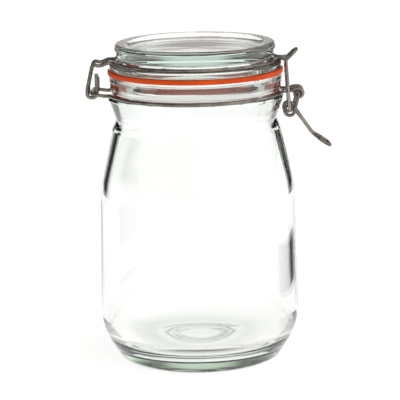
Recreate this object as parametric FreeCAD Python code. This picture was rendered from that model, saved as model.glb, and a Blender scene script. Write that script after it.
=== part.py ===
import FreeCAD
import Part
import math
import os

# Clip-top preserving jar: a blown glass body, a glass lid on a rubber gasket, and a wire clasp.
# Millimetres. The origin is the centre of the base, on the jar's axis, and +Z is up.
# The hinge is on the -X side and the latch on the +X side. Both lie in the plane Y = 0.

# ---- Glass body -------------------------------------------------------------------------------
JAR_H = 158.3           # base to the flat top of the rim
BODY_R = 55.2           # outside radius where the heel's slope would meet the side
BODY_TAPER = 1.6        # radius lost between the heel and the shoulder
REST_R = 44.0           # outer edge of the ring that the jar stands on
REST_W = 5.4            # width of that ring
PUSH_UP = 3.4           # rise of the underside inside the ring
PUSH_UP_SLOPE = 2.6     # width of the slope up to it
DOME = 0.6              # further rise of the underside and the floor at the axis
HEEL_H = 18.0           # height where the heel's slope would meet the side
HEEL_RADIUS = 36.0      # curve that turns the heel's slope into the side
WALL = 3.1              # glass of the side and shoulder
FLOOR = 5.0             # glass of the floor

RIM_R = 47.4            # outside radius of the rim at its fullest place
RIM_FULL_DROP = 1.8     # rim top down to that place
RIM_EDGE = 0.2          # how far the rim's top edge lies behind it
RIM_DRAW_IN = 0.7       # how far the rim draws in between it and the wire
GROOVE_FLARE = 0.4      # how much wider than the wire its groove is, on each side
RIDGE_OUT = 0.8         # how far the ridge under the wire stands out past the rim
RIDGE_DROP = 1.2        # groove's lower edge down to that ridge
LIP_W = 5.6             # width of the rim, from its edge in to the bore of the mouth
LIP_H = 1.8             # height of the lip at the mouth
UNDERCUT = 2.4          # how much wider the bore is below that lip
UNDERCUT_RISE = 1.0     # neck wire up to the widest place of the bore
THROAT_DEPTH = 3.4      # how far the throat draws in behind the rim
FOOT_DEPTH = 0.9        # how far the shoulder's upper end lies behind the rim
WIRE_DROP = 10.5        # rim top down to the neck wire
THROAT_DROP = 25.1      # rim top down to the narrowest place of the throat
FOOT_DROP = 30.4        # rim top down to the shoulder's upper end
SHOULDER_DROP = 62.0    # rim top down to where the shoulder begins
SHOULDER_RADIUS = 55.0  # curve that turns the side into the shoulder

# ---- Gasket -----------------------------------------------------------------------------------
GASKET_T = 2.7          # thickness of the rubber
GASKET_PROUD = 0.6      # how far the rubber stands out past the rim
GASKET_GAP = 0.1        # rubber to the lid's spigot, which it is stretched round
TAB_W = 15.0            # pull tab: width
TAB_L = 8.0             # pull tab: how far it stands out
TAB_T = 1.6             # pull tab: thickness
TAB_CORNER = 4.5        # pull tab: radius of its two corners
TAB_ROOT = 2.0          # pull tab: how far its root reaches into the ring
TAB_ANGLE = 81.0        # pull tab: direction, in degrees round from the latch

# ---- Glass lid --------------------------------------------------------------------------------
FLANGE_SET_BACK = 0.3   # how far the flange's edge lies behind the rim's
FLANGE_T = 3.5          # thickness of the flange
LEDGE_W = 2.8           # flange's edge in to the widest place of the raised crown
CROWN_EDGE_DROP = 2.8   # crown's highest ring down to its widest place
CROWN_WAIST = 1.9       # how far the crown draws in above the wire
WIRE_SEAT = 0.5         # widest place of the crown in to the seat of the wire
CROWN_H = 10.9          # flange top to the crown's highest ring
DISH = 2.4              # depth of the dish in the crown
DISH_LIP_W = 6.8        # widest place of the crown in to the edge of the dish
LID_T = 5.2             # glass between the dish and the hollow below it
SPIGOT_GAP = 1.8        # bore of the mouth in to the spigot
SPIGOT_H = 4.4          # how far the spigot reaches down past the gasket's top
SPIGOT_WALL = 4.2       # glass of the spigot at its lower edge
SPIGOT_DRAFT = 1.6      # radius lost by the spigot from top to bottom

# ---- Wires ------------------------------------------------------------------------------------
WIRE_D = 2.0            # neck wire and lid wire
LEVER_D = 1.9
LINK_D = 1.6
SEAT_GAP = 0.05         # wire to the glass that it is tied round
PLAY = 0.3              # clearance in each of the clasp's eyes and hooks
SADDLE_PLAY = 0.4       # clearance between the link's saddle and the nose above it
SIDE_PLAY = 0.35        # clearance between wires that pass side by side
RING_BEND = 3.0         # bend where a wire leaves its ring

HINGE_OUT = 9.0         # rim's edge out to the hinge bar
HINGE_RISE = 1.1        # neck wire's plane up to the hinge bar
HOOK_Y = 7.8            # half the distance between the lid wire's two hinge hooks
HOOK_HALF_W = 2.6       # half the width of a hinge hook
KNEE_IN = 0.6           # hinge bar in to the knee of a hinge hook
KNEE_DROP = 0.6         # lid wire's ring down to that knee
DIP_IN = 4.6            # hinge bar in to the lowest place of the hook's leg
DIP_DROP = 1.75         # lid wire's ring down to that place
PRONGS = {1: 7.0, -1: 10.8}     # free end of each hook above the hinge bar, by the sign of Y

LEVER_OUT = 8.8         # rim's edge out to the lever's pivot
EAR_RISE = 1.1          # neck wire's plane up to the top of its ears
EAR_Y = 5.4             # half the distance between the neck wire's two ears
COIL_IN = 5.1           # lever's pivot in to the centre of its coils
COIL_DOWN = 9.4         # lever's pivot down to the centre of its coils
COIL_R = 2.6            # centreline radius of the coils
COIL_GAP = 0.15         # gap between a coil's leg and the leg that leaves it
GRIP_SLOPE = 55.0       # degrees that the lever's upper part slopes down
GRIP_L = 18.5           # length of that part
TAIL_SLOPE = 35.0       # degrees that the loop at the lever's end slopes down
TAIL_L = 11.5           # length of that loop
TAIL_HALF_W = 5.6       # half the width of that loop
GRIP_GAP = 0.6          # gap between the lever's two legs

NOSE_HALF_W = 3.6       # half the width of the lid wire's nose
NOSE_OUT = 8.2          # flange's edge out to the nose's end
NOSE_RISE = 4.6         # lid wire's ring up to the nose's end
CROOK_OUT = 2.7         # flange's edge out to the crook under the nose
CROOK_DROP = 0.7        # lid wire's ring down to the crook
LINK_OUT = 2.2          # flange's edge out to the link's two upper corners
LINK_RISE = 2.6         # flange's top up to those corners
SADDLE_HALF_W = 3.2     # half the flat width of the saddle that passes under the nose

# ---- Sizes that follow ------------------------------------------------------------------------
MOUTH_R = RIM_R - LIP_W
SPIGOT_R = MOUTH_R - SPIGOT_GAP
WIRE_R = WIRE_D / 2
LEVER_WIRE_R = LEVER_D / 2
LINK_WIRE_R = LINK_D / 2

GASKET_TOP = JAR_H + GASKET_T
GASKET_R = RIM_R + GASKET_PROUD
FLANGE_R = RIM_R - FLANGE_SET_BACK
FLANGE_TOP = GASKET_TOP + FLANGE_T
CROWN_TOP = FLANGE_TOP + CROWN_H
CROWN_R = FLANGE_R - LEDGE_W
DISH_R = CROWN_R - DISH_LIP_W

NECK_WIRE_Z = JAR_H - WIRE_DROP
NECK_GROOVE = WIRE_R + SEAT_GAP
NECK_RING_R = RIM_R
LID_WIRE_Z = FLANGE_TOP + WIRE_R + SEAT_GAP
LID_SEAT_R = CROWN_R - WIRE_SEAT
LID_RING_R = LID_SEAT_R + WIRE_R + SEAT_GAP

HINGE_X = RIM_R + HINGE_OUT
HINGE_Z = NECK_WIRE_Z + HINGE_RISE
HOOK_BOTTOM_Z = HINGE_Z - 2 * WIRE_R - PLAY
HINGE_LEG_Y = HOOK_Y + WIRE_D + 2 * SIDE_PLAY

LEVER_X = RIM_R + LEVER_OUT
EYE_R = LEVER_WIRE_R + PLAY + WIRE_R
EAR_TOP_Z = NECK_WIRE_Z + EAR_RISE
LEVER_Z = EAR_TOP_Z - EYE_R
LEVER_LEG_Y = EAR_Y + WIRE_R + SIDE_PLAY + LEVER_WIRE_R
LEVER_INNER_Y = LEVER_LEG_Y - LEVER_D - COIL_GAP
LINK_LEG_Y = LEVER_LEG_Y + LEVER_WIRE_R + SIDE_PLAY + LINK_WIRE_R

COIL_X = LEVER_X - COIL_IN
COIL_Z = LEVER_Z - COIL_DOWN
LINK_PIN_Z = COIL_Z + COIL_R - LEVER_WIRE_R - LINK_WIRE_R - PLAY

NOSE_REACH = FLANGE_R + NOSE_OUT
CROOK_X = FLANGE_R + CROOK_OUT
CROOK_Z = LID_WIRE_Z - CROOK_DROP
LINK_TOP_X = FLANGE_R + LINK_OUT
LINK_TOP_Z = FLANGE_TOP + LINK_RISE
SADDLE_Z = CROOK_Z - WIRE_R - SADDLE_PLAY - LINK_WIRE_R


# ---- Helpers ----------------------------------------------------------------------------------
def vector(x, y, z):
    return FreeCAD.Vector(x, y, z)


def rounded_edges(corners, closed=False):
    """Straight runs through the corners, each (point, radius), with a tangent arc at each corner.
    An arc is made smaller where its runs are too short for it."""
    count = len(corners)
    starts = []
    ends = []
    arcs = []
    for index, (point, radius) in enumerate(corners):
        is_end = not closed and index in (0, count - 1)
        if is_end or radius == 0:
            starts.append(point)
            ends.append(point)
            arcs.append(None)
            continue
        back = corners[index - 1][0] - point
        ahead = corners[(index + 1) % count][0] - point
        back_share = 0.96 if not closed and index == 1 else 0.48
        ahead_share = 0.96 if not closed and index == count - 2 else 0.48
        room = min(back_share * back.Length, ahead_share * ahead.Length)
        back.normalize()
        ahead.normalize()
        half_turn = (math.pi - back.getAngle(ahead)) / 2
        reach = min(radius * math.tan(half_turn), room)
        fitted = reach / math.tan(half_turn)
        inward = (back + ahead).normalize()
        middle = point + inward * (fitted / math.cos(half_turn) - fitted)
        starts.append(point + back * reach)
        ends.append(point + ahead * reach)
        arcs.append(Part.Arc(starts[-1], middle, ends[-1]).toShape())
    edges = []
    for index in range(count):
        if arcs[index]:
            edges.append(arcs[index])
        if closed or index < count - 1:
            edges.append(Part.LineSegment(ends[index], starts[(index + 1) % count]).toShape())
    return edges


def turned(outline):
    """Solid of revolution about Z. The outline is a closed ring of (radius, height, fillet)."""
    corners = [(vector(r, 0, z), fillet) for r, z, fillet in outline]
    face = Part.Face(Part.Wire(rounded_edges(corners, closed=True)))
    return face.revolve(vector(0, 0, 0), vector(0, 0, 1), 360)


def mirrored(edges):
    """The same edges on the other side of the plane Y = 0."""
    return [edge.mirror(vector(0, 0, 0), vector(0, 1, 0)) for edge in edges]


def drawn_wire(edges, radius):
    """Round wire along a path of tangent runs and arcs, checked against section times length."""
    path = Part.Wire(Part.__sortEdges__(edges))
    start = path.OrderedEdges[0]
    first = start.FirstParameter if start.Orientation == "Forward" else start.LastParameter
    circle = Part.Circle(start.valueAt(first), start.tangentAt(first), radius).toShape()
    solid = path.makePipeShell([Part.Wire(circle)], True, False)
    expected = math.pi * radius ** 2 * path.Length
    error = abs(solid.Volume / expected - 1)
    print(f"wire length {path.Length:.1f} mm, volume error {error:.5f}, valid {solid.isValid()}")
    return solid


def ring_bend(ring_r, leg_y, side):
    """Where a wire leaves its ring for a leg parallel to X: the point on the ring, the middle of
    the bend and the point where the leg begins, as (x, y). The side is 1 at +X and -1 at -X."""
    centre_y = leg_y + RING_BEND
    centre_x = math.sqrt((ring_r + RING_BEND) ** 2 - centre_y ** 2)
    share = ring_r / (ring_r + RING_BEND)
    on_ring = (centre_x * share, centre_y * share)
    towards_ring = math.atan2(-centre_y, -centre_x)
    towards_leg = -math.pi / 2
    half_way = (towards_ring + towards_leg) / 2
    middle = (centre_x + RING_BEND * math.cos(half_way), centre_y + RING_BEND * math.sin(half_way))
    leg = (centre_x, leg_y)
    return [(side * x, y) for x, y in (on_ring, middle, leg)]


def half_ring(ring_r, z, front_leg_y, back_leg_y):
    """The +Y half of a ring round the axis, with a bend to a leg at each end."""
    front = [vector(x, y, z) for x, y in ring_bend(ring_r, front_leg_y, 1)]
    back = [vector(x, y, z) for x, y in ring_bend(ring_r, back_leg_y, -1)]
    edges = [
        Part.Arc(front[2], front[1], front[0]).toShape(),
        Part.Arc(front[0], vector(0, ring_r, z), back[0]).toShape(),
        Part.Arc(back[0], back[1], back[2]).toShape(),
    ]
    return front[2], edges, back[2]


# ---- Glass body -------------------------------------------------------------------------------
def jar_body():
    body_top_r = BODY_R - BODY_TAPER
    throat_r = RIM_R - THROAT_DEPTH
    foot_r = RIM_R - FOOT_DEPTH
    throat_z = JAR_H - THROAT_DROP
    foot_z = JAR_H - FOOT_DROP
    shoulder_z = JAR_H - SHOULDER_DROP
    groove_half = WIRE_R + GROOVE_FLARE
    groove_bottom = NECK_WIRE_Z - groove_half
    floor_z = PUSH_UP + FLOOR
    outside = [
        (0, PUSH_UP + DOME, 0),
        (REST_R - REST_W - PUSH_UP_SLOPE, PUSH_UP, 5.0),
        (REST_R - REST_W, 0, 0.8),
        (REST_R, 0, 5.0),
        (BODY_R, HEEL_H, HEEL_RADIUS),
        (body_top_r, shoulder_z, SHOULDER_RADIUS),
        (foot_r, foot_z, 4.0),
        (throat_r, throat_z, 5.0),
        (RIM_R + RIDGE_OUT, groove_bottom - RIDGE_DROP, 0.9),
        (RIM_R, groove_bottom, 0.3),
        (RIM_R - NECK_GROOVE, NECK_WIRE_Z - groove_half / 2, 0.7),
        (RIM_R - NECK_GROOVE, NECK_WIRE_Z + groove_half / 2, 0.7),
        (RIM_R - RIM_DRAW_IN, NECK_WIRE_Z + groove_half, 0.6),
        (RIM_R, JAR_H - RIM_FULL_DROP, 6.0),
        (RIM_R - RIM_EDGE, JAR_H, 1.3),
    ]
    inside = [
        (MOUTH_R, JAR_H, 1.2),
        (MOUTH_R, JAR_H - LIP_H, 5.0),
        (MOUTH_R + UNDERCUT, NECK_WIRE_Z + UNDERCUT_RISE, 6.0),
        (throat_r - WALL, throat_z, 12.0),
        (body_top_r - WALL, shoulder_z - 1.0, SHOULDER_RADIUS),
        (BODY_R - WALL - 0.3, floor_z + 3.0, 16.0),
        (REST_R - 4.0, floor_z - 1.2, 22.0),
        (0, floor_z + DOME, 0),
    ]
    return turned(outside + inside)


# ---- Gasket -----------------------------------------------------------------------------------
def gasket():
    bore_r = SPIGOT_R + GASKET_GAP
    ring = turned([
        (bore_r, JAR_H, 0.5),
        (GASKET_R, JAR_H, 0.8),
        (GASKET_R, GASKET_TOP, 0.8),
        (bore_r, GASKET_TOP, 0.5),
    ])
    # The pull tab is a flat tongue with a rounded end, half-way up the ring's edge.
    root_x = GASKET_R - TAB_ROOT
    tip_x = GASKET_R + TAB_L
    half_w = TAB_W / 2
    z = JAR_H + (GASKET_T - TAB_T) / 2
    corners = [
        (vector(root_x, -half_w, z), 0),
        (vector(tip_x, -half_w, z), TAB_CORNER),
        (vector(tip_x, half_w, z), TAB_CORNER),
        (vector(root_x, half_w, z), 0),
    ]
    outline = Part.Face(Part.Wire(rounded_edges(corners, closed=True)))
    tab = outline.extrude(vector(0, 0, TAB_T))
    tab.rotate(vector(0, 0, 0), vector(0, 0, 1), TAB_ANGLE)
    return ring.fuse(tab).removeSplitter()


# ---- Glass lid --------------------------------------------------------------------------------
def glass_lid():
    spigot_bottom = GASKET_TOP - SPIGOT_H
    spigot_low_r = SPIGOT_R - SPIGOT_DRAFT
    hollow_r = spigot_low_r - SPIGOT_WALL
    dish_z = CROWN_TOP - DISH
    hollow_z = dish_z - LID_T
    waist_z = LID_WIRE_Z + 1.9 * WIRE_R
    return turned([
        (0, dish_z, 0),
        (DISH_R - 1.5, dish_z, 2.5),
        (DISH_R + 0.8, CROWN_TOP, 1.4),
        (CROWN_R - 0.9, CROWN_TOP, 1.8),
        (CROWN_R, CROWN_TOP - CROWN_EDGE_DROP, 2.4),
        (CROWN_R - CROWN_WAIST, waist_z, 1.6),
        (LID_SEAT_R, LID_WIRE_Z + 0.2, 0.3),
        (LID_SEAT_R, FLANGE_TOP, 0.2),
        (FLANGE_R, FLANGE_TOP, 1.2),
        (FLANGE_R, GASKET_TOP, 0.9),
        (SPIGOT_R, GASKET_TOP, 0),
        (spigot_low_r, spigot_bottom, 1.2),
        (hollow_r, spigot_bottom, 1.2),
        (hollow_r - 1.6, hollow_z - 0.6, 4.0),
        (0, hollow_z, 0),
    ])


# ---- Neck wire --------------------------------------------------------------------------------
def neck_wire():
    """One wire: an eye, half the ring, the hinge loop, the other half ring and the other eye."""
    front, ring, back = half_ring(NECK_RING_R, NECK_WIRE_Z, EAR_Y, HINGE_LEG_Y)
    arm = rounded_edges([
        (front, 0),
        (vector(front.x + 1.2, EAR_Y, NECK_WIRE_Z), 3.0),
        (vector(LEVER_X - 2.0, EAR_Y, EAR_TOP_Z), 3.0),
        (vector(LEVER_X, EAR_Y, EAR_TOP_Z), 0),
    ])
    # The eye curls down and back under the arm, and stops clear of it.
    curl = [vector(LEVER_X + EYE_R * math.cos(a), EAR_Y, LEVER_Z + EYE_R * math.sin(a))
            for a in (math.radians(-165), math.radians(-38), math.radians(90))]
    eye = Part.Arc(*curl).toShape()
    loop = rounded_edges([
        (back, 0),
        (vector(back.x - 1.0, HINGE_LEG_Y, NECK_WIRE_Z), 4.0),
        (vector(-HINGE_X, HINGE_LEG_Y, HINGE_Z), 2.4),
        (vector(-HINGE_X, 0, HINGE_Z), 0),
    ])
    half = [eye] + arm + ring + loop
    return drawn_wire(half + mirrored(half), WIRE_R)


# ---- Lid wire ---------------------------------------------------------------------------------
def hinge_hook(start, side):
    """From the ring out to the knee, down outside the hinge bar, round under it and up again."""
    y = side * HOOK_Y
    outer_x = -HINGE_X - HOOK_HALF_W
    inner_x = -HINGE_X + HOOK_HALF_W
    return rounded_edges([
        (start, 0),
        (vector(start.x - 1.0, y, LID_WIRE_Z), 4.0),
        (vector(-HINGE_X + DIP_IN, y, LID_WIRE_Z - DIP_DROP), 4.0),
        (vector(-HINGE_X + KNEE_IN, y, LID_WIRE_Z - KNEE_DROP), 2.4),
        (vector(outer_x, y, HINGE_Z + 2.0), 12.0),
        (vector(outer_x, y, HOOK_BOTTOM_Z), HOOK_HALF_W - 0.1),
        (vector(inner_x, y, HOOK_BOTTOM_Z), HOOK_HALF_W - 0.1),
        (vector(inner_x, y, HINGE_Z + PRONGS[side]), 0),
    ])


def lid_wire():
    """One wire: a hinge hook, half the ring, the nose, the other half ring and the other hook."""
    front, ring, back = half_ring(LID_RING_R, LID_WIRE_Z, NOSE_HALF_W, HOOK_Y)
    nose = rounded_edges([
        (front, 0),
        (vector(front.x + 0.8, NOSE_HALF_W, LID_WIRE_Z), 1.6),
        (vector(CROOK_X, NOSE_HALF_W, CROOK_Z), 1.8),
        (vector(NOSE_REACH, NOSE_HALF_W, LID_WIRE_Z + NOSE_RISE), NOSE_HALF_W - 0.1),
        (vector(NOSE_REACH, 0, LID_WIRE_Z + NOSE_RISE), 0),
    ])
    half = nose + ring
    far_start = vector(back.x, -back.y, back.z)
    hooks = hinge_hook(back, 1) + hinge_hook(far_start, -1)
    return drawn_wire(half + mirrored(half) + hooks, WIRE_R)


# ---- Lever ------------------------------------------------------------------------------------
def coil_corner(before, after, y):
    """Corner between two lines that touch the coil's circle, given the directions of their
    points of contact in degrees."""
    half = math.radians(abs(after - before) / 2)
    towards = math.radians((after + before) / 2)
    reach = COIL_R / math.cos(half)
    return vector(COIL_X + reach * math.cos(towards), y, COIL_Z + reach * math.sin(towards))


def lever():
    """One wire: a pivot pin, a leg, a coil and a grip leg on each side, joined by a loop."""
    out = math.radians(-GRIP_SLOPE)
    grip_touch = 90.0 - GRIP_SLOPE
    # The leg from the pivot touches the coil's circle on its outer side.
    span = math.hypot(COIL_IN, COIL_DOWN)
    leg_touch = math.degrees(math.atan2(COIL_DOWN, COIL_IN) - math.acos(COIL_R / span))
    touches = [leg_touch, leg_touch - 92, leg_touch - 180, leg_touch - 262, grip_touch - 360]
    shift = LEVER_INNER_Y - LEVER_LEG_Y
    shares = (0.0, 0.35, 0.7, 1.0)
    coil = [(coil_corner(touches[i], touches[i + 1], LEVER_LEG_Y + shift * shares[i]), COIL_R - 0.1)
            for i in range(4)]

    def grip_point(distance, y):
        x = COIL_X + COIL_R * math.cos(math.radians(grip_touch)) + distance * math.cos(out)
        z = COIL_Z + COIL_R * math.sin(math.radians(grip_touch)) + distance * math.sin(out)
        return vector(x, y, z)

    grip_y = GRIP_GAP / 2 + LEVER_WIRE_R
    bend = grip_point(GRIP_L, grip_y)
    down = math.radians(-TAIL_SLOPE)
    tail = vector(math.cos(down), 0, math.sin(down))
    shoulder = bend + tail * (0.45 * TAIL_L)
    tip = bend + tail * TAIL_L
    pin_end_y = EAR_Y - WIRE_R - 0.6
    half = rounded_edges([
        (vector(LEVER_X, pin_end_y, LEVER_Z), 0),
        (vector(LEVER_X, LEVER_LEG_Y, LEVER_Z), 1.5),
        *coil,
        (grip_point(3.0, LEVER_INNER_Y), 3.0),
        (grip_point(9.0, grip_y), 8.0),
        (bend, 5.0),
        (vector(shoulder.x, TAIL_HALF_W, shoulder.z), 3.5),
        (vector(tip.x, TAIL_HALF_W - 0.6, tip.z), 4.4),
        (vector(tip.x, 0, tip.z), 0),
    ])
    return drawn_wire(half + mirrored(half), LEVER_WIRE_R)


# ---- Link -------------------------------------------------------------------------------------
def link():
    """Stirrup from the lever's coils up to the nose. Its bar dips to a saddle under the nose."""
    pin_end_y = LEVER_INNER_Y - LEVER_WIRE_R - 0.4
    lean = (LINK_TOP_X - COIL_X) / (LINK_TOP_Z - LINK_PIN_Z)
    saddle_x = COIL_X + lean * (SADDLE_Z - LINK_PIN_Z)
    half = rounded_edges([
        (vector(COIL_X, pin_end_y, LINK_PIN_Z), 0),
        (vector(COIL_X, LINK_LEG_Y, LINK_PIN_Z), 1.4),
        (vector(LINK_TOP_X, LINK_LEG_Y, LINK_TOP_Z), 1.6),
        (vector(saddle_x, SADDLE_HALF_W + 2.0, SADDLE_Z), 2.0),
        (vector(saddle_x, 0, SADDLE_Z), 0),
    ])
    return drawn_wire(half + mirrored(half), LINK_WIRE_R)


# ---- Pieces -----------------------------------------------------------------------------------
PIECES = {
    "jar_body": jar_body,
    "gasket": gasket,
    "glass_lid": glass_lid,
    "neck_wire": neck_wire,
    "lid_wire": lid_wire,
    "lever": lever,
    "link": link,
}

os.makedirs("parts", exist_ok=True)
for name, make in PIECES.items():
    shape = make()
    box = shape.BoundBox
    print(f"{name}: {len(shape.Solids)} solid, valid {shape.isValid()}, {shape.Volume:.0f} mm3, "
          f"X {box.XMin:.1f} {box.XMax:.1f} Y {box.YMin:.1f} {box.YMax:.1f} "
          f"Z {box.ZMin:.1f} {box.ZMax:.1f}")
    shape.exportStep(f"parts/{name}.step")
print(f"lever pivot {LEVER_X:.2f} {LEVER_Z:.2f}, link pivot {COIL_X:.2f} {LINK_PIN_Z:.2f}, "
      f"hinge {-HINGE_X:.2f} {HINGE_Z:.2f}")
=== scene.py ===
import math

import bmesh
import bpy
from mathutils import Matrix, Vector

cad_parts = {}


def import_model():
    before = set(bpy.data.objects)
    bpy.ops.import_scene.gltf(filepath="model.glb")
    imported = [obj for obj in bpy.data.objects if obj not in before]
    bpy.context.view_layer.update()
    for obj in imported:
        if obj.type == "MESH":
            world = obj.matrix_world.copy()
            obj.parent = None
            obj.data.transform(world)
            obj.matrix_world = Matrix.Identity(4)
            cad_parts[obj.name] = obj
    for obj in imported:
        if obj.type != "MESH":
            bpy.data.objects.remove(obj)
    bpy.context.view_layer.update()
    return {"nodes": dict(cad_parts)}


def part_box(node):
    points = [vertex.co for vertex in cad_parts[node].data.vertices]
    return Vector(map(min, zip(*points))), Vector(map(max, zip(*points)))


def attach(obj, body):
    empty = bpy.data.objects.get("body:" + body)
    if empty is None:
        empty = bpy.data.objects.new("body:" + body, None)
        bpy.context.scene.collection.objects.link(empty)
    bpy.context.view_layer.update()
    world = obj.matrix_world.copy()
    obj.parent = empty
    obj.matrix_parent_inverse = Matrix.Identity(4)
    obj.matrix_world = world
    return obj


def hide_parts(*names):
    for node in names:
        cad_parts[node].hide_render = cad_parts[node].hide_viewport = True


# Looks of a clip-top preserving jar: clear glass body and lid, orange rubber gasket, steel wire clasp.
# Metres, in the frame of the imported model: the jar's axis is Z, the latch is on +X, the view along +Y.

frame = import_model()
nodes = frame["nodes"]
MM = 0.001

# ---- Camera -----------------------------------------------------------------------------------
CAMERA_PLACE = (0.0, -1.152, 0.328)
CAMERA_PITCH = 11.82        # degrees below level
CAMERA_YAW = 0.06           # degrees towards +X
CAMERA_ROLL = 1.15          # degrees that the camera leans
CAMERA_LENS = 191.25        # mm on the sensor below
CAMERA_SENSOR = 36.0

# ---- Light ------------------------------------------------------------------------------------
# The studio is dark above a low white backdrop, with soft lights at the sides, so that the glass and
# the steel get dark edges. The floor glows like a light table.
BACKDROP_LIGHT = 1.05
BACKDROP_TOP = (2.6, 6.0)           # degrees: where the backdrop begins to fade and where it ends
STUDIO_DARK = (0.13, 0.11, 0.09)
SOFT_LIGHTS = {
    "right": (110, 35, 75, 20, 1.1),        # bearing from +Y, elevation, outer and inner angle, light
    "left_front": (-140, 30, 60, 20, 0.35),
    "behind": (0, 14, 22, 6, 0.65),
}
FLOOR_SIZE = 12.0
FLOOR_DROP = 0.2 * MM       # gap between the floor and the jar's rest ring
FLOOR_TONE = 0.42
FLOOR_MOTTLE = 0.02         # how much lighter the floor's lighter patches are
FLOOR_GLOW = 0.82
# Dark flags beside the view. Only reflections, and what is seen through glass, show them.
FLAG_FOOT = 1.0 * MM        # height of their lower edge
FLAGS = {
    "flag_left": (-52, -25, 0.80, 0.17),    # bearings from +Y, distance and height
    "flag_right": (24, 44, 0.80, 0.17),
    "flag_near": (40, 85, 0.20, 0.034),
}

# ---- Surfaces ---------------------------------------------------------------------------------
NOISE_SPAN = (0.3, 0.7)     # the part of the noise that tones and roughness are spread over
GLASS_IOR = 1.51
GLASS_DENSITY = 13.0        # how fast the tint deepens, for each metre of glass
GLASS_MIST = (0.985, 0.995, 0.99)
GLASS_RIPPLE = 0.2 * MM     # height of the soft ripple
RUBBER_GRAIN = 0.04 * MM    # height of the rubber's grain
STEEL_SPAN = (0.35, 0.65)   # narrower, so that the steel's patches have sharper edges
STEEL_ROUGHNESS = (0.16, 0.3)
STEEL_MARKS = 0.02 * MM     # height of the marks that drawing left on the wire

# ---- Gasket -----------------------------------------------------------------------------------
GASKET_SINK = 0.03 * MM     # how far the pressed rubber reaches into the rim below it
GASKET_AIR = 0.03 * MM      # film of air between the rubber and the lid above it
GASKET_EDGE = 0.8 * MM      # rounding of the ring's outer edges
GASKET_STEPS = 256          # points round the ring
GASKET_EDGE_STEPS = 6       # steps round each of its outer edges
TAB_STAND_OUT = 3 * MM      # the CAD gasket's points this far outside its ring are the pull tab's
TAB_TIP_BAND = 0.05 * MM    # and those this near its tip lie on its straight end
TAB_EDGE = 0.35 * MM        # rounding of the tab's edges
TAB_EDGE_STEPS = 3
TAB_ROOT = 1.5 * MM         # how far the tab's root reaches into the ring
TAB_CORNER_STEPS = 10       # steps round each of its corners


# ---- Helpers ----------------------------------------------------------------------------------
def new_material(name):
    material = bpy.data.materials.new(name)
    material.use_nodes = True
    tree = material.node_tree
    tree.nodes.clear()
    out = tree.nodes.new("ShaderNodeOutputMaterial")
    shader = tree.nodes.new("ShaderNodeBsdfPrincipled")
    tree.links.new(shader.outputs["BSDF"], out.inputs["Surface"])
    return material, tree, shader, out


def set_inputs(node, values):
    for socket, value in values.items():
        node.inputs[socket].default_value = value


def noise(tree, scale, detail=3.0, roughness=0.5, stretch=(1, 1, 1)):
    """Noise over the piece's own coordinates, with scale in cells a metre."""
    place = tree.nodes.new("ShaderNodeTexCoord")
    mapping = tree.nodes.new("ShaderNodeMapping")
    texture = tree.nodes.new("ShaderNodeTexNoise")
    set_inputs(mapping, {"Scale": stretch})
    set_inputs(texture, {"Scale": scale, "Detail": detail, "Roughness": roughness})
    tree.links.new(place.outputs["Object"], mapping.inputs["Vector"])
    tree.links.new(mapping.outputs["Vector"], texture.inputs["Vector"])
    return texture.outputs["Fac"]


def two_tones(tree, factor, first, second, span=NOISE_SPAN):
    """Colour that goes from the first tone to the second while the factor crosses the span."""
    node = tree.nodes.new("ShaderNodeValToRGB")
    for element, place, tone in zip(node.color_ramp.elements, span, (first, second)):
        element.position = place
        element.color = (*tone, 1)
    tree.links.new(factor, node.inputs["Fac"])
    return node.outputs["Color"]


def map_range(tree, value, source, target, interpolation="LINEAR"):
    """Carry a value from the source range over to the target range, and hold it at both ends."""
    node = tree.nodes.new("ShaderNodeMapRange")
    node.interpolation_type = interpolation
    set_inputs(node, {"From Min": source[0], "From Max": source[1], "To Min": target[0], "To Max": target[1]})
    tree.links.new(value, node.inputs["Value"])
    return node.outputs["Result"]


def bump(tree, height, distance, strength=1.0):
    node = tree.nodes.new("ShaderNodeBump")
    set_inputs(node, {"Strength": strength, "Distance": distance})
    tree.links.new(height, node.inputs["Height"])
    return node.outputs["Normal"]


def set_material(piece, material):
    piece.data.materials.clear()
    piece.data.materials.append(material)


def link_object(name, data):
    piece = bpy.data.objects.new(name, data)
    bpy.context.scene.collection.objects.link(piece)
    return piece


def add_sheet(name, corners, material):
    """Flat piece of the stage with four corners."""
    mesh = bpy.data.meshes.new(name)
    mesh.from_pydata(corners, [], [(0, 1, 2, 3)])
    piece = link_object(name, mesh)
    set_material(piece, material)
    return piece


# ---- Materials --------------------------------------------------------------------------------
def glass(name, tint):
    """Clear soda glass: a tint that deepens with thickness, and the soft ripple of blown glass."""
    material, tree, shader, out = new_material(name)
    set_inputs(shader, {"Transmission Weight": 1.0, "IOR": GLASS_IOR, "Roughness": 0.0})
    mist = noise(tree, scale=18, detail=2.0)
    tree.links.new(two_tones(tree, mist, GLASS_MIST, (1, 1, 1)), shader.inputs["Base Color"])
    waves = noise(tree, scale=22, detail=1.0, roughness=0.4, stretch=(1, 1, 0.6))
    tree.links.new(bump(tree, waves, GLASS_RIPPLE), shader.inputs["Normal"])
    absorb = tree.nodes.new("ShaderNodeVolumeAbsorption")
    set_inputs(absorb, {"Color": (*tint, 1), "Density": GLASS_DENSITY})
    tree.links.new(absorb.outputs["Volume"], out.inputs["Volume"])
    return material


def rubber(name, dark, light):
    material, tree, shader, _ = new_material(name)
    set_inputs(shader, {"Roughness": 0.5, "Specular IOR Level": 0.15})
    cloud = noise(tree, scale=60, detail=4.0)
    tree.links.new(two_tones(tree, cloud, dark, light), shader.inputs["Base Color"])
    grain = noise(tree, scale=1800)
    tree.links.new(bump(tree, grain, RUBBER_GRAIN, strength=0.6), shader.inputs["Normal"])
    return material


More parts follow.
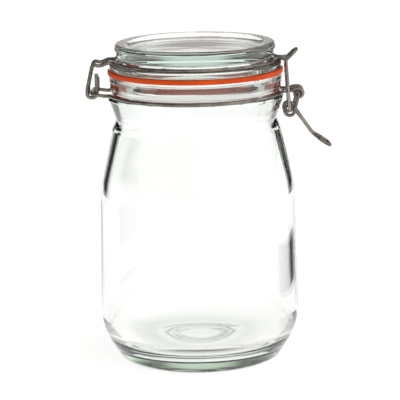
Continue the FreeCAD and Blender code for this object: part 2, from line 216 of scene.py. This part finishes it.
def steel(name, dark, light):
    material, tree, shader, _ = new_material(name)
    set_inputs(shader, {"Metallic": 1.0})
    patch = noise(tree, scale=140, detail=4.0)
    tree.links.new(two_tones(tree, patch, dark, light, STEEL_SPAN), shader.inputs["Base Color"])
    wear = noise(tree, scale=400)
    tree.links.new(map_range(tree, wear, NOISE_SPAN, STEEL_ROUGHNESS), shader.inputs["Roughness"])
    draw_marks = noise(tree, scale=2500, detail=2.0)
    tree.links.new(bump(tree, draw_marks, STEEL_MARKS, strength=0.5), shader.inputs["Normal"])
    return material


jar_glass = glass("jar_glass", (0.62, 0.86, 0.66))
lid_glass = glass("lid_glass", (0.66, 0.86, 0.76))
gasket_rubber = rubber("orange_rubber", (0.60, 0.056, 0.003), (0.73, 0.080, 0.005))
wire_steel = steel("wire_steel", (0.11, 0.10, 0.085), (0.27, 0.25, 0.22))
link_steel = steel("link_steel", (0.24, 0.20, 0.19), (0.42, 0.36, 0.35))

set_material(nodes["jar_body"], jar_glass)
set_material(nodes["glass_lid"], lid_glass)
for name in ("neck_wire", "lid_wire", "lever"):
    set_material(nodes[name], wire_steel)
set_material(nodes["link"], link_steel)


# ---- Gasket -----------------------------------------------------------------------------------
def rounded_outline(inner, outer, low, high):
    """Half section of the ring as (radius, height), with a quarter circle at each outer edge."""
    points = [(inner, low)]
    for centre_z, first in ((low + GASKET_EDGE, -90), (high - GASKET_EDGE, 0)):
        for step in range(GASKET_EDGE_STEPS + 1):
            turn = math.radians(first + 90 * step / GASKET_EDGE_STEPS)
            points.append((outer - GASKET_EDGE + GASKET_EDGE * math.cos(turn),
                           centre_z + GASKET_EDGE * math.sin(turn)))
    points.append((inner, high))
    return points


def add_turned(shape, outline, steps):
    """Closed ring turned about Z from a closed outline of (radius, height)."""
    rings = []
    for step in range(steps):
        turn = 2 * math.pi * step / steps
        rings.append([shape.verts.new((r * math.cos(turn), r * math.sin(turn), z)) for r, z in outline])
    count = len(outline)
    for step in range(steps):
        ring, after = rings[step], rings[(step + 1) % steps]
        for index in range(count):
            ahead = (index + 1) % count
            shape.faces.new((ring[index], ring[ahead], after[ahead], after[index]))


def measure_tab(points, ring_r):
    """Bearing of the CAD gasket's pull tab, and its points turned back to lie along +X."""
    tab = [p for p in points if math.hypot(p.x, p.y) > ring_r + TAB_STAND_OUT]
    middle = sum(tab, Vector()) / len(tab)
    turn = math.atan2(middle.y, middle.x)
    return turn, [Matrix.Rotation(-turn, 3, "Z") @ p for p in tab]


def add_tab(shape, tab, root_r):
    """Flat tongue along +X with the measured tab's outline, and rounded corners and edges."""
    tip_r = max(p.x for p in tab)
    half_w = max(p.y for p in tab)
    corner = half_w - max(p.y for p in tab if p.x > tip_r - TAB_TIP_BAND)
    outline = [(root_r, -half_w)]
    for centre_y, first in ((-half_w + corner, -90), (half_w - corner, 0)):
        for step in range(TAB_CORNER_STEPS + 1):
            angle = math.radians(first + 90 * step / TAB_CORNER_STEPS)
            outline.append((tip_r - corner + corner * math.cos(angle), centre_y + corner * math.sin(angle)))
    outline.append((root_r, half_w))
    low, high = min(p.z for p in tab), max(p.z for p in tab)
    bottom = [shape.verts.new((x, y, low)) for x, y in outline]
    top = [shape.verts.new((x, y, high)) for x, y in outline]
    faces = [shape.faces.new(bottom[::-1]), shape.faces.new(top)]
    count = len(outline)
    for index in range(count):
        ahead = (index + 1) % count
        shape.faces.new((bottom[index], bottom[ahead], top[ahead], top[index]))
    rims = [edge for face in faces for edge in face.edges]
    bmesh.ops.bevel(shape, geom=rims, offset=TAB_EDGE, segments=TAB_EDGE_STEPS, profile=0.5, affect="EDGES")


def make_gasket():
    """The ring with its tab, in place of the CAD gasket and with the sizes of its mesh."""
    low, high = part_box("gasket")
    points = [v.co for v in nodes["gasket"].data.vertices]
    inner = min(math.hypot(p.x, p.y) for p in points)
    outer = -low.y      # the tab is on the far side, so the near side is the plain ring
    turn, tab = measure_tab(points, outer)

    # The tab is turned into place while it is all that the shape holds, and the ring comes after it.
    shape = bmesh.new()
    add_tab(shape, tab, outer - TAB_ROOT)
    bmesh.ops.rotate(shape, verts=shape.verts[:], cent=(0, 0, 0), matrix=Matrix.Rotation(turn, 3, "Z"))
    add_turned(shape, rounded_outline(inner, outer, low.z - GASKET_SINK, high.z - GASKET_AIR), GASKET_STEPS)
    bmesh.ops.recalc_face_normals(shape, faces=shape.faces)
    mesh = bpy.data.meshes.new("gasket_ring")
    shape.to_mesh(mesh)
    shape.free()
    for polygon in mesh.polygons:
        polygon.use_smooth = True
    ring = link_object("gasket_ring", mesh)
    set_material(ring, gasket_rubber)
    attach(ring, "lid")
    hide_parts("gasket")


make_gasket()


# ---- Floor, light and camera ------------------------------------------------------------------
def floor():
    material, tree, shader, _ = new_material("pale_floor")
    cloud = noise(tree, scale=3, detail=2.0)
    tones = two_tones(tree, cloud, (FLOOR_TONE,) * 3, (FLOOR_TONE + FLOOR_MOTTLE,) * 3)
    tree.links.new(tones, shader.inputs["Base Color"])
    set_inputs(shader, {"Roughness": 0.9, "Specular IOR Level": 0.0,
                        "Emission Color": (1, 1, 1, 1), "Emission Strength": FLOOR_GLOW})
    half = FLOOR_SIZE / 2
    corners = [(-half, -half, 0), (half, -half, 0), (half, half, 0), (-half, half, 0)]
    piece = add_sheet("floor", corners, material)
    piece.location.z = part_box("jar_body")[0].z - FLOOR_DROP


def flags():
    material, _, shader, _ = new_material("dark_flag")
    set_inputs(shader, {"Base Color": (0.02, 0.024, 0.018, 1), "Roughness": 1.0, "Specular IOR Level": 0.0})
    for name, (start, end, distance, height) in FLAGS.items():
        corners = []
        for bearing, z in ((start, FLAG_FOOT), (end, FLAG_FOOT), (end, height), (start, height)):
            turn = math.radians(bearing)
            corners.append((distance * math.sin(turn), distance * math.cos(turn), z))
        piece = add_sheet(name, corners, material)
        piece.visible_camera = False
        piece.visible_diffuse = False
        piece.visible_shadow = False


def world():
    sky = bpy.data.worlds.new("studio")
    bpy.context.scene.world = sky
    sky.use_nodes = True
    tree = sky.node_tree
    place = tree.nodes.new("ShaderNodeTexCoord")

    def along(bearing, elevation):
        """How far a direction points towards a bearing and elevation: 1 straight at it, -1 away."""
        turn, rise = math.radians(bearing), math.radians(elevation)
        node = tree.nodes.new("ShaderNodeVectorMath")
        node.operation = "DOT_PRODUCT"
        node.inputs[1].default_value = (math.sin(turn) * math.cos(rise), math.cos(turn) * math.cos(rise),
                                        math.sin(rise))
        tree.links.new(place.outputs["Generated"], node.inputs[0])
        return node.outputs["Value"]

    def combine(operation, first, second):
        node = tree.nodes.new("ShaderNodeVectorMath")
        node.operation = operation
        for socket, value in zip(node.inputs, (first, second)):
            if isinstance(value, tuple):
                socket.default_value = value
            else:
                tree.links.new(value, socket)
        return node.outputs["Vector"]

    colour = STUDIO_DARK
    for bearing, elevation, outer, inner, light in SOFT_LIGHTS.values():
        edge = (math.cos(math.radians(outer)), math.cos(math.radians(inner)))
        spot = map_range(tree, along(bearing, elevation), edge, (0, light), "SMOOTHSTEP")
        colour = combine("ADD", spot, colour)
    top = [math.sin(math.radians(angle)) for angle in BACKDROP_TOP]
    backdrop = map_range(tree, along(0, 90), top, (BACKDROP_LIGHT, 0), "SMOOTHSTEP")
    tree.links.new(combine("MAXIMUM", colour, backdrop), tree.nodes["Background"].inputs["Color"])


def camera():
    data = bpy.data.cameras.new("camera")
    data.lens = CAMERA_LENS
    data.sensor_width = CAMERA_SENSOR
    piece = link_object("camera", data)
    pitch, yaw, roll = (math.radians(a) for a in (CAMERA_PITCH, CAMERA_YAW, CAMERA_ROLL))
    forward = Vector((math.sin(yaw) * math.cos(pitch), math.cos(yaw) * math.cos(pitch), -math.sin(pitch)))
    level = forward.cross(Vector((0, 0, 1))).normalized()
    upright = level.cross(forward)
    right = level * math.cos(roll) - upright * math.sin(roll)
    up = right.cross(forward)
    turned = Matrix((right, up, -forward)).transposed().to_4x4()
    piece.matrix_world = Matrix.Translation(CAMERA_PLACE) @ turned
    bpy.context.scene.camera = piece


floor()
world()
flags()
camera()
bpy.context.scene.view_settings.view_transform = "Standard"
